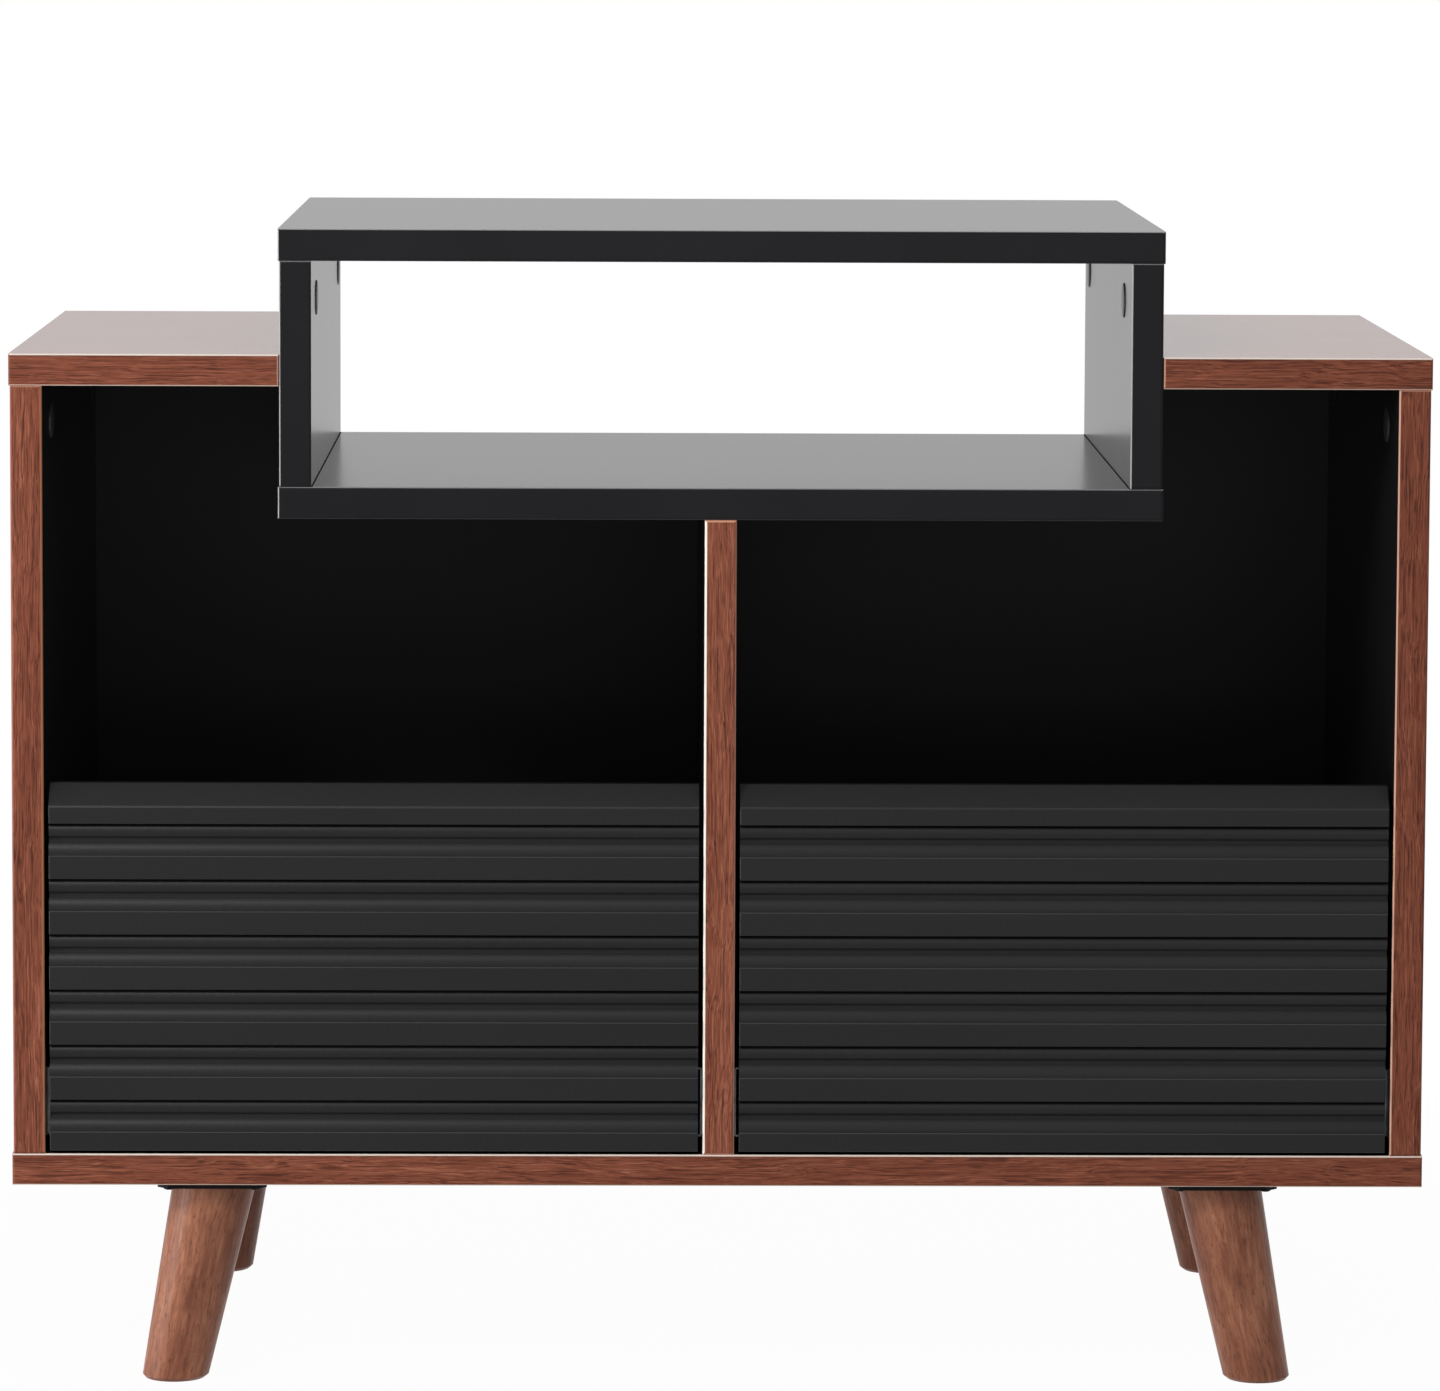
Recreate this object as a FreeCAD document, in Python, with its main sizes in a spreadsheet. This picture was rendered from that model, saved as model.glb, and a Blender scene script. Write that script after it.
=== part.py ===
"""Record cabinet: an open riser for a turntable, sunk between two top boards, over two drawer bays.

The origin is on the floor under the middle of the cabinet: +X is to the right, -Y is the front, +Z is up.
Every piece is an object of the document, bound to the driving sizes in the spreadsheet "Sizes".
"""
import FreeCAD, Part
import math
import os
import Sketcher

# Driving sizes: millimetres, angles in degrees, and whole numbers of repeats.
DRIVING_SIZES = {
    # carcass
    "cabinet_width": 800,
    "cabinet_depth": 400,
    "board": 18,                    # thickness of every carcass board
    "edge_easing": 1.6,             # radius of the front edge bands
    "side_inset": 0.8,              # side panels stand in from the ends of the top boards
    "leg_room": 117.5,              # floor to the underside of the bottom panel
    "bay_height": 361.5,
    "riser_width": 498,
    "riser_clear_height": 127,
    "riser_side_inset": 0.8,
    "top_board_lift": 56.5,         # riser floor's upper face to the top boards' undersides
    "back_thickness": 4,
    "back_lap": 9,                  # how far the back panel lies on each board
    "back_fit": 0.4,                # play round the back panel in its rebates
    "back_setback": 1,              # how far it lies in from the boards' back edges
    # knock-down joints of the carcass
    "cam_diameter": 15,
    "cam_depth": 12.5,
    "cam_setback": 24,              # cam's centre to the end of its board
    "cam_from_front": 63,
    "cam_from_back": 36,
    "cam_slot": 7,                  # width of the cam's slot, which takes the bolt's head
    "cam_sides": 10,                # cams and hidden rods are drawn with few flat sides
    "cap_diameter": 20,
    "cap_thickness": 1.2,
    "cap_sides": 28,
    "bolt_diameter": 6,
    "bolt_bite": 11,                # how deep a cam bolt goes into the board that it holds
    "dowel_diameter": 8,
    "dowel_length": 30,
    "dowel_spacing": 32,            # cam's centre line to the dowel's
    "screw_diameter": 6,
    "screw_length": 49,
    "screw_recess": 1,              # depth of a carcass screw below its board's underside
    "screw_from_edge": 50,
    "rod_sides": 8,
    "cam_fit": 0.1,                 # play round a cam in its bore
    # legs
    "leg_from_end": 112.5,          # cabinet's end to the middle of a leg's top
    "leg_from_front": 36.5,
    "leg_from_back": 46,
    "leg_top_diameter": 47,         # both diameters are square to the leg's own axis
    "leg_foot_diameter": 37,
    "leg_splay": 11.4,              # outward lean of a leg
    "back_left_leg_splay": 7.2,     # this leg stands steeper than the others
    "leg_foot_bevel": 2,
    "plate_width": 62,
    "plate_thickness": 3,
    "plate_corner": 6,              # clipped corners
    "leg_bolt_diameter": 8,
    "leg_bolt_bite": 30,            # how deep the hanger bolt goes into the leg
    # telescopic runners
    "runner_height": 40,
    "runner_thickness": 12.7,
    "runner_lift": 7,               # bay floor to the cabinet member
    "runner_setback": 1.5,          # drawer front's back face to the runner's front end
    "gauge": 1.2,                   # sheet thickness of the members
    "bend_radius": 2,               # outside radius of their bends
    "channel_width": 10.2,          # how far the cabinet member stands out from its wall
    "channel_lip": 3.8,
    "member_gap": 1.6,              # side gap between the members' webs
    "ball_diameter": 3.2,
    "cage_gauge": 0.6,
    "cage_shortfall": 5,            # how much shorter a cage is than half its runner
    "cage_play": 0.3,               # cage's edge to the lip beside it
    # drawers
    "front_gap": 2.6,
    "front_lift": 1.8,
    "front_height": 208.6,
    "front_thickness": 18,
    "bevel_height": 12.2,
    "bevel_depth": 12,
    "upper_flat": 9.7,
    "groove_count": 6,
    "groove_height": 18.2,
    "lower_flat": 10.9,             # flat under the lowest groove; the grooves share the rest
    "groove_top_depth": 4.5,        # a groove holds two beads, which meet in a valley
    "groove_valley_depth": 5.4,
    "groove_foot_depth": 0.8,
    "upper_bead_height": 9.4,
    "upper_bead_rise": 3.2,         # how far a bead stands out from the straight line between its ends
    "lower_bead_rise": 1.6,
    "valley_radius": 1.5,
    "rib_easing": 0.5,
    "drawer_side": 12,
    "drawer_side_height": 125,
    "drawer_side_lift": 6,
    "drawer_back_room": 27,         # drawer's back end to the back panel
    "drawer_bottom": 5,
    "drawer_bottom_lift": 10,
    "drawer_groove": 5,
    "drawer_groove_fit": 0.2,
    "drawer_dowel_diameter": 6,
    "drawer_dowel_length": 28,
    "drawer_dowel_bite": 8,         # how deep a dowel goes into the front or into a side
    "drawer_dowel_inset": 30,       # dowel to the top or bottom edge of a drawer side
}

doc = FreeCAD.newDocument("RecordCabinet")
PARTS = []


class Size:
    """A size that knows both its value and the spreadsheet formula that gives it."""

    def __init__(self, value, formula):
        self.value = float(value)
        self.formula = formula

    def __add__(self, other):
        other = as_size(other)
        return Size(self.value + other.value, "(%s + %s)" % (self.formula, other.formula))

    def __sub__(self, other):
        other = as_size(other)
        return Size(self.value - other.value, "(%s - %s)" % (self.formula, other.formula))

    def __mul__(self, other):
        other = as_size(other)
        return Size(self.value * other.value, "(%s * %s)" % (self.formula, other.formula))

    def __truediv__(self, other):
        other = as_size(other)
        return Size(self.value / other.value, "(%s / %s)" % (self.formula, other.formula))

    def __neg__(self):
        return as_size(0) - self

    def __radd__(self, other):
        return as_size(other) + self

    def __rsub__(self, other):
        return as_size(other) - self

    def __rmul__(self, other):
        return as_size(other) * self


def as_size(number):
    return number if isinstance(number, Size) else Size(number, repr(number))


def tangent(angle):
    return Size(math.tan(math.radians(angle.value)), "tan(%s)" % angle.formula)


def cosine(angle):
    return Size(math.cos(math.radians(angle.value)), "cos(%s)" % angle.formula)


def sine(angle):
    return Size(math.sin(math.radians(angle.value)), "sin(%s)" % angle.formula)


def root(square):
    return Size(math.sqrt(square.value), "sqrt(%s)" % square.formula)


class Sizes:
    """The spreadsheet: one named cell for each driving size."""

    def __init__(self, values):
        sheet = doc.addObject("Spreadsheet::Sheet", "Sizes")
        for row, (alias, value) in enumerate(values.items(), start=1):
            sheet.set("A%d" % row, alias)
            sheet.set("B%d" % row, str(value))
            sheet.setAlias("B%d" % row, alias)
            setattr(self, alias, Size(value, "Sizes." + alias))
        doc.recompute()


size = Sizes(DRIVING_SIZES)

# Levels and planes that several pieces share.
front_y = -size.cabinet_depth / 2
back_y = size.cabinet_depth / 2
back_panel_y = back_y - size.back_setback - size.back_thickness
bay_floor_z = size.leg_room + size.board
riser_floor_z = bay_floor_z + size.bay_height
riser_z = riser_floor_z + size.board
riser_top_z = riser_z + size.riser_clear_height
top_board_z = riser_z + size.top_board_lift
end_x = size.cabinet_width / 2
side_outer_x = end_x - size.side_inset
side_inner_x = side_outer_x - size.board
divider_x = size.board / 2
riser_end_x = size.riser_width / 2
riser_outer_x = riser_end_x - size.riser_side_inset
riser_inner_x = riser_outer_x - size.board
cam_rows = (front_y + size.cam_from_front, back_y - size.cam_from_back)
dowel_rows = (cam_rows[0] + size.dowel_spacing, cam_rows[1] - size.dowel_spacing)
screw_rows = (front_y + size.screw_from_edge, back_y - size.screw_from_edge)
screw_lines = {
    "bottom": (-(side_inner_x + size.board / 2), as_size(0), side_inner_x + size.board / 2),
    "riser": (-(riser_inner_x + size.board / 2), riser_inner_x + size.board / 2),
}
leg_x = end_x - size.leg_from_end
leg_rows = (front_y + size.leg_from_front, back_y - size.leg_from_back)
leg_top_z = size.leg_room - size.plate_thickness
drawer_y = front_y + size.front_thickness
drawer_end_y = back_panel_y - size.drawer_back_room
drawer_z = bay_floor_z + size.drawer_side_lift
drawer_top_z = drawer_z + size.drawer_side_height
drawer_bottom_z = drawer_z + size.drawer_bottom_lift
runner_y = drawer_y + size.runner_setback
runner_z = bay_floor_z + size.runner_lift
runner_length = drawer_end_y - drawer_y
front_width = side_inner_x - divider_x - 2 * size.front_gap

# Side of the cabinet, and for each bay the x of its left and right walls.
SIDES = {"left": -1, "right": 1}
BAYS = {"left": (-side_inner_x, -divider_x), "right": (divider_x, side_inner_x)}

X_AXIS = FreeCAD.Vector(1, 0, 0)
Y_AXIS = FreeCAD.Vector(0, 1, 0)
Z_AXIS = FreeCAD.Vector(0, 0, 1)
HALF_TURN_Y = FreeCAD.Rotation(Y_AXIS, 180)
HALF_TURN_Z = FreeCAD.Rotation(Z_AXIS, 180)


# ---- modelling helpers ------------------------------------------------------------------------------

def facing(top, along=None):
    """The rotation that points a piece's own Z along top and, if given, its own X along another."""
    if along is None:
        return FreeCAD.Rotation(Z_AXIS, top)
    return FreeCAD.Rotation(along, top.cross(along), top, "ZXY")


def ordered(a, b):
    return (a, b) if a.value <= b.value else (b, a)


def bind(feature, path, value):
    feature.setExpression(path, as_size(value).formula)


def place(feature, corner, rotation=None):
    """Bind a feature's or a body's position, with a fixed rotation."""
    feature.Placement = FreeCAD.Placement(FreeCAD.Vector(), rotation or FreeCAD.Rotation())
    for axis, value in zip("xyz", corner):
        bind(feature, ".Placement.Base." + axis, value)


def new_body(label, exported=True):
    body = doc.addObject("PartDesign::Body", label)
    body.Label = label
    if exported:
        PARTS.append(body)
    return body


def primitive(body, kind, name, corner, rotation, dimensions, adds):
    """Add or cut a box or cylinder, and make sure that it changed the body."""
    before = body.Shape.Volume if body.Tip else 0.0
    prefix = "PartDesign::Additive" if adds else "PartDesign::Subtractive"
    feature = body.newObject(prefix + kind, name)
    for property_name, value in dimensions.items():
        bind(feature, property_name, value)
    place(feature, corner, rotation)
    doc.recompute()
    gained = body.Shape.Volume - before
    if gained * (1 if adds else -1) < 1e-3:
        raise RuntimeError("%s: %s changed nothing" % (body.Label, name))


def block(body, name, low, high, adds=True):
    """A box between two corners."""
    dimensions = {"Length": high[0] - low[0], "Width": high[1] - low[1], "Height": high[2] - low[2]}
    primitive(body, "Box", name, low, None, dimensions, adds)


def bore(body, name, mouth, direction, diameter, depth):
    dimensions = {"Radius": diameter / 2, "Height": depth}
    primitive(body, "Cylinder", name, mouth, facing(direction), dimensions, adds=False)


def dress(body, kind, name, amount, wanted):
    """Fillet or chamfer every edge of the body so far that the test picks."""
    base = body.Tip
    edges = ["Edge%d" % (i + 1) for i, edge in enumerate(base.Shape.Edges) if wanted(edge)]
    if not edges:
        raise RuntimeError("%s: %s has no edge" % (body.Label, name))
    feature = body.newObject("PartDesign::" + kind, name)
    feature.Base = (base, edges)
    bind(feature, "Radius" if kind == "Fillet" else "Size", amount)
    doc.recompute()


def edge_at(edge, **position):
    """True where every end of an edge has the given coordinates, such as y=0."""
    return all(abs(getattr(vertex.Point, axis) - as_size(value).value) < 1e-4
               for vertex in edge.Vertexes for axis, value in position.items())


def board(label, low, high):
    """A laminated board whose front edge band is eased all round."""
    body = new_body(label)
    block(body, "Blank", low, high)
    dress(body, "Fillet", "EasedFront", size.edge_easing, lambda edge: edge_at(edge, y=low[1]))
    return body


def sketch(body, plane, name, offset=None):
    support = next(feature for feature in body.Origin.OriginFeatures if feature.Role == plane)
    drawing = body.newObject("Sketcher::SketchObject", name)
    drawing.AttachmentSupport = [(support, "")]
    drawing.MapMode = "FlatFace"
    if offset is not None:
        bind(drawing, ".AttachmentOffset.Base.z", offset)
    return drawing


def constrain(drawing, value, *constraint):
    """Add a dimension to a sketch and bind it."""
    value = as_size(value)
    index = drawing.addConstraint(Sketcher.Constraint(*constraint, value.value))
    drawing.setExpression("Constraints[%d]" % index, value.formula)


def pin(drawing, geometry, end, point):
    """Fix one end of a sketch's line or arc by its distances from the sketch's origin."""
    constrain(drawing, point[0], "DistanceX", -1, 1, geometry, end)
    constrain(drawing, point[1], "DistanceY", -1, 1, geometry, end)


def outline(drawing, corners, beads=()):
    """Draw a closed outline through corners, with an arc to the left of each run named in beads.

    beads maps the number of the corner where a run starts to how far the run's arc stands out.
    """
    beads = dict(beads)
    points = [FreeCAD.Vector(as_size(x).value, as_size(y).value, 0) for x, y in corners]
    count = len(corners)
    ends = []
    for i, start in enumerate(points):
        stop = points[(i + 1) % count]
        if i not in beads:
            drawing.addGeometry(Part.LineSegment(start, stop), False)
            ends.append((1, 2))
            continue
        rise = beads[i]
        run_x, run_y = (as_size(corners[i + 1][axis]) - corners[i][axis] for axis in (0, 1))
        half = root(run_x * run_x + run_y * run_y) / 2
        radius = (half * half + rise * rise) / (2 * rise)
        swing = math.asin(half.value / radius.value)
        leftward = math.atan2(run_y.value, run_x.value) + math.pi / 2
        to_left = FreeCAD.Vector(math.cos(leftward), math.sin(leftward), 0)
        centre = (start + stop) * 0.5 - to_left * (radius.value - rise.value)
        circle = Part.Circle(centre, Z_AXIS, radius.value)
        drawing.addGeometry(Part.ArcOfCircle(circle, leftward - swing, leftward + swing), False)
        ends.append((2, 1))
        constrain(drawing, radius, "Radius", i)
    for i, corner in enumerate(corners):
        after = (i + 1) % count
        drawing.addConstraint(Sketcher.Constraint("Coincident", i, ends[i][1], after, ends[after][0]))
        pin(drawing, i, ends[i][0], corner)


def pad(body, drawing, length, backwards=False):
    feature = body.newObject("PartDesign::Pad", "Pad")
    feature.Profile = drawing
    feature.Reversed = backwards
    bind(feature, "Length", length)
    doc.recompute()


def group(label, master, places):
    """One node of several solids: links to a master body, or to one for each place, each placed."""
    masters = master if isinstance(master, list) else [master] * len(places)
    links = []
    for body, (corner, rotation) in zip(masters, places):
        link = doc.addObject("App::Link", label + "_link")
        link.LinkedObject = body
        place(link, corner, rotation)
        links.append(link)
    compound = doc.addObject("Part::Compound", label)
    compound.Label = label
    compound.Links = links
    PARTS.append(compound)
    doc.recompute()


def round_master(name, diameter, length, sides=None):
    """An upright round piece, or a prism inside that round where sides is given."""
    body = new_body(name, exported=False)
    if sides is None:
        dimensions = {"Radius": diameter / 2, "Height": length}
        primitive(body, "Cylinder", "Round", (0, 0, 0), None, dimensions, adds=True)
    else:
        dimensions = {"Polygon": sides, "Circumradius": diameter / 2, "Height": length}
        primitive(body, "Prism", "Round", (0, 0, 0), None, dimensions, adds=True)
    return body


# ---- carcass ----------------------------------------------------------------------------------------

def cam_bore(body, mouth, direction):
    bore(body, "CamBore", mouth, direction, size.cam_diameter + 2 * size.cam_fit, size.cam_depth)


def back_rebate(body, low_x, high_x, low_z, high_z):
    """The step that the back panel lies in."""
    low_x, high_x = ordered(low_x, high_x)
    block(body, "BackRebate", (low_x, back_panel_y, low_z), (high_x, back_y, high_z), adds=False)


def bottom_panel():
    body = board("bottom_panel", (-end_x, front_y, size.leg_room), (end_x, back_y, bay_floor_z))
    reach = side_inner_x + size.back_lap
    back_rebate(body, -reach, reach, bay_floor_z - size.back_lap, bay_floor_z)


def side_panel(name, side):
    low_x, high_x = ordered(side * side_inner_x, side * side_outer_x)
    body = board(name + "_side_panel", (low_x, front_y, bay_floor_z), (high_x, back_y, top_board_z))
    lap_x = side * (side_inner_x + size.back_lap)
    back_rebate(body, side * side_inner_x, lap_x, bay_floor_z, top_board_z)
    for y in cam_rows:
        cam_bore(body, (side * side_inner_x, y, top_board_z - size.cam_setback), side * X_AXIS)


def centre_divider():
    body = board("centre_divider", (-divider_x, front_y, bay_floor_z),
                 (divider_x, back_panel_y, riser_floor_z))
    for y in cam_rows:
        cam_bore(body, (divider_x, y, riser_floor_z - size.cam_setback), -X_AXIS)


def top_board(name, side):
    low_x, high_x = ordered(side * riser_outer_x, side * end_x)
    body = board(name + "_top_board", (low_x, front_y, top_board_z),
                 (high_x, back_y, top_board_z + size.board))
    lap_x = side * (side_inner_x + size.back_lap)
    back_rebate(body, side * riser_outer_x, lap_x, top_board_z, top_board_z + size.back_lap)
    for y in cam_rows:
        cam_bore(body, (side * (riser_outer_x + size.cam_setback), y, top_board_z), Z_AXIS)


def riser_floor():
    body = board("riser_floor", (-riser_end_x, front_y, riser_floor_z), (riser_end_x, back_y, riser_z))
    back_rebate(body, -riser_end_x, riser_end_x, riser_floor_z, riser_floor_z + size.back_lap)
    for side in SIDES.values():
        back_rebate(body, side * (riser_outer_x - size.back_lap), side * riser_end_x,
                    riser_floor_z + size.back_lap, riser_z)


def riser_side(name, side):
    low_x, high_x = ordered(side * riser_inner_x, side * riser_outer_x)
    body = board("riser_%s_side" % name, (low_x, front_y, riser_z), (high_x, back_y, riser_top_z))
    back_rebate(body, side * (riser_outer_x - size.back_lap), side * riser_outer_x, riser_z,
                top_board_z + size.back_lap)
    for y in cam_rows:
        cam_bore(body, (side * riser_inner_x, y, riser_top_z - size.cam_setback), side * X_AXIS)


def riser_top():
    board("riser_top", (-riser_end_x, front_y, riser_top_z),
          (riser_end_x, back_y, riser_top_z + size.board))


def back_panel():
    """One thin panel in the rebates, notched round the riser, which stays open."""
    half_width = side_inner_x + size.back_lap - size.back_fit
    low_z = bay_floor_z - size.back_lap + size.back_fit
    height = top_board_z + size.back_lap - size.back_fit - low_z
    notch_height = riser_floor_z + size.back_lap - size.back_fit - low_z
    notch_half = riser_outer_x - size.back_lap + size.back_fit
    notch_left = half_width - notch_half
    notch_right = half_width + notch_half
    body = new_body("back_panel")
    drawing = sketch(body, "XZ_Plane", "Outline")
    outline(drawing, (
        (0, 0), (2 * half_width, 0), (2 * half_width, height),
        (notch_right, height), (notch_right, notch_height),
        (notch_left, notch_height), (notch_left, height), (0, height),
    ))
    pad(body, drawing, size.back_thickness, backwards=True)
    place(body, (-half_width, back_panel_y, low_z))


# ---- knock-down joints of the carcass ---------------------------------------------------------------

def cam_master():
    """A cam, standing on the bottom of its bore, with a slot for the bolt's head at mid-board."""
    body = round_master("CamLock", size.cam_diameter, size.cam_depth, size.cam_sides)
    slot_z = size.cam_depth - size.board / 2 - size.cam_slot / 2
    block(body, "BoltSlot", (0, -size.cam_slot / 2, slot_z),
          (size.cam_diameter, size.cam_slot / 2, slot_z + size.cam_slot), adds=False)
    return body


def upright_joint(face_x, into, top_z):
    """The pieces that join the top end of an upright board to the board that lies on it.

    face_x is the face that the cams are let into, and into the way from it into the board.
    """
    cam_z = top_z - size.cam_setback
    middle_x = face_x + into * size.board / 2
    outward = facing(-into * X_AXIS, Z_AXIS)
    return {
        "cams": [((face_x + into * size.cam_depth, y, cam_z), outward) for y in cam_rows],
        "caps": [((face_x, y, cam_z), outward) for y in cam_rows],
        "bolts": [((middle_x, y, cam_z), None) for y in cam_rows],
        "dowels": [((middle_x, y, top_z - size.dowel_length / 2), None) for y in dowel_rows],
    }


def butt_joint(side):
    """The pieces that join a top board's inner end to the riser's side."""
    cam_x = side * (riser_outer_x + size.cam_setback)
    middle_z = top_board_z + size.board / 2
    inward = -side * X_AXIS
    return {
        "cams": [((cam_x, y, top_board_z + size.cam_depth), facing(-Z_AXIS, inward)) for y in cam_rows],
        "bolts": [((cam_x, y, middle_z), facing(inward)) for y in cam_rows],
    }


def carcass_joints():
    joints = [upright_joint(divider_x, -1, riser_floor_z)]
    screw_starts = {"bottom": size.leg_room + size.screw_recess, "riser": riser_floor_z + size.screw_recess}
    screws = [((x, y, screw_starts[row]), None)
              for row, lines in screw_lines.items() for x in lines for y in screw_rows]
    for side in SIDES.values():
        joints.append(upright_joint(side * side_inner_x, side, top_board_z))
        joints.append(upright_joint(side * riser_inner_x, side, riser_top_z))
        joints.append(butt_joint(side))

    def gather(kind):
        return [place for joint in joints for place in joint.get(kind, [])]

    bolt_length = size.cam_setback + size.bolt_bite
    group("cam_locks", cam_master(), gather("cams"))
    group("cam_bolts", round_master("CamBolt", size.bolt_diameter, bolt_length, size.rod_sides),
          gather("bolts"))
    cap = round_master("CamCap", size.cap_diameter, size.cap_thickness, size.cap_sides)
    group("cam_caps", cap, gather("caps"))
    group("dowels", round_master("Dowel", size.dowel_diameter, size.dowel_length, size.rod_sides),
          gather("dowels"))
    group("carcass_screws", round_master("Screw", size.screw_diameter, size.screw_length, size.rod_sides),
          screws)


# ---- legs -------------------------------------------------------------------------------------------

def leg_master(name, splay):
    """A turned, tapered leg that leans towards +X, cut level at its top and at its foot."""
    body = new_body(name, exported=False)
    lean = leg_top_z * tangent(splay)
    slant = leg_top_z / cosine(splay)
    spare = size.leg_top_diameter * tangent(splay)
    widening = (size.leg_top_diameter - size.leg_foot_diameter) / 2 / slant
    start = (lean + spare * sine(splay), 0, -spare * cosine(splay))
    dimensions = {
        "Radius1": size.leg_foot_diameter / 2 - spare * widening,
        "Radius2": size.leg_top_diameter / 2 + spare * widening,
        "Height": slant + 2 * spare,
    }
    leaning = FreeCAD.Rotation(-Y_AXIS, splay.value)
    primitive(body, "Cone", "Turned", start, leaning, dimensions, adds=True)
    bind(body.Tip, "Placement.Rotation.Angle", splay)
    reach = size.leg_top_diameter
    block(body, "FootCut", (-reach, -reach, -2 * spare), (lean + reach, reach, 0), adds=False)
    block(body, "TopCut", (-reach, -reach, leg_top_z), (reach, reach, leg_top_z + 2 * spare), adds=False)
    dress(body, "Chamfer", "BevelledFoot", size.leg_foot_bevel, lambda edge: edge_at(edge, z=0))
    return body


def plate_master():
    body = new_body("LegPlate", exported=False)
    half = size.plate_width / 2
    block(body, "Plate", (-half, -half, 0), (half, half, size.plate_thickness))
    dress(body, "Chamfer", "Corners", size.plate_corner,
          lambda edge: abs(edge.Length - size.plate_thickness.value) < 1e-4)
    return body


def legs():
    usual = leg_master("Leg", size.leg_splay)
    back_left = leg_master("BackLeftLeg", size.back_left_leg_splay)
    bolt_length = size.leg_bolt_bite + size.plate_thickness
    bolt = round_master("LegBolt", size.leg_bolt_diameter, bolt_length, size.rod_sides)
    left, right = -leg_x, leg_x
    front_row, back_row = leg_rows
    group("legs", [usual, usual, back_left, usual], [
        ((left, front_row, 0), HALF_TURN_Z), ((right, front_row, 0), None),
        ((left, back_row, 0), HALF_TURN_Z), ((right, back_row, 0), None),
    ])
    middles = [(x, y) for y in leg_rows for x in (left, right)]
    group("leg_plates", plate_master(), [((x, y, leg_top_z), None) for x, y in middles])
    group("leg_bolts", bolt, [((x, y, leg_top_z - size.leg_bolt_bite), None) for x, y in middles])


# ---- telescopic runners -----------------------------------------------------------------------------
# A runner's own X leads from the wall to the drawer, and its own Z starts at the cabinet member's
# lower edge. A runner on a right-hand wall is turned half round its length.

def channel(label, width, height, lip=None):
    """A rolled channel that opens along +X, with lips on its flanges where lip is given."""
    body = new_body(label)
    gauge = size.gauge
    inner_x = width - gauge
    inner_z = height - gauge
    corners = [(0, 0), (width, 0)]
    if lip is not None:
        corners += [(width, lip), (inner_x, lip), (inner_x, gauge)]
    else:
        corners += [(width, gauge)]
    corners += [(gauge, gauge), (gauge, inner_z)]
    if lip is not None:
        corners += [(inner_x, inner_z), (inner_x, height - lip), (width, height - lip)]
    else:
        corners += [(width, inner_z)]
    corners += [(width, height), (0, height)]
    drawing = sketch(body, "XZ_Plane", "Section")
    outline(drawing, corners)
    pad(body, drawing, runner_length, backwards=True)
    bends = [(x, z) for x in ((0,) if lip is None else (0, width)) for z in (0, height)]
    dress(body, "Fillet", "Bends", size.bend_radius,
          lambda edge: any(edge_at(edge, x=x, z=z) for x, z in bends))
    return body


def cage_master(label, width, height):
    """A ball cage: a thin channel, open along +X."""
    body = new_body(label, exported=False)
    gauge = size.cage_gauge
    drawing = sketch(body, "XZ_Plane", "Section")
    outline(drawing, ((0, 0), (width, 0), (width, gauge), (gauge, gauge),
                      (gauge, height - gauge), (width, height - gauge), (width, height), (0, height)))
    pad(body, drawing, runner_length / 2 - size.cage_shortfall, backwards=True)
    return body


def place_on_wall(body, wall_x, side, from_wall, from_base, start_y, opens_to_wall=False, height=None):
    """Put a runner's piece from_wall off a bay's wall, side being +1 on the right-hand wall."""
    turned = (side > 0) != opens_to_wall
    base_z = runner_z + from_base + (height if turned else 0)
    place(body, (wall_x - side * from_wall, start_y, base_z), HALF_TURN_Y if turned else None)


def runners():
    member_step = size.gauge + size.member_gap
    ball_step = size.gauge + size.ball_diameter
    cage_side = size.gauge + (size.member_gap - size.cage_gauge) / 2
    cage_base = size.gauge + (size.ball_diameter - size.cage_gauge) / 2
    middle_height = size.runner_height - 2 * ball_step
    drawer_height = middle_height - 2 * ball_step
    cage_edge = size.channel_width - size.gauge - size.cage_play
    cage_y = runner_y + runner_length / 4 + size.cage_shortfall / 2
    for bay, walls in BAYS.items():
        for (hand, side), wall_x in zip(SIDES.items(), walls):
            prefix = "%s_bay_%s_" % (bay, hand)
            body = channel(prefix + "cabinet_member", size.channel_width, size.runner_height,
                           lip=size.channel_lip)
            place_on_wall(body, wall_x, side, 0, 0, runner_y, height=size.runner_height)
            body = channel(prefix + "middle_member", size.channel_width - member_step, middle_height,
                           lip=size.channel_lip)
            place_on_wall(body, wall_x, side, member_step, ball_step, runner_y, height=middle_height)
            body = channel(prefix + "drawer_member", size.runner_thickness - 2 * member_step,
                           drawer_height)
            place_on_wall(body, wall_x, side, size.runner_thickness, 2 * ball_step, runner_y,
                          opens_to_wall=True, height=drawer_height)
        for name, steps in (("outer", 0), ("inner", 1)):
            offset = cage_side + steps * member_step
            base = cage_base + steps * ball_step
            height = size.runner_height - 2 * base
            master = cage_master("%s_%s_cage" % (bay, name), cage_edge - offset, height)
            left_x, right_x = walls
            group("%s_bay_%s_ball_cages" % (bay, name), master, [
                ((left_x + offset, cage_y, runner_z + base), None),
                ((right_x - offset, cage_y, runner_z + base + height), HALF_TURN_Y),
            ])


# ---- drawers ----------------------------------------------------------------------------------------

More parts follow.
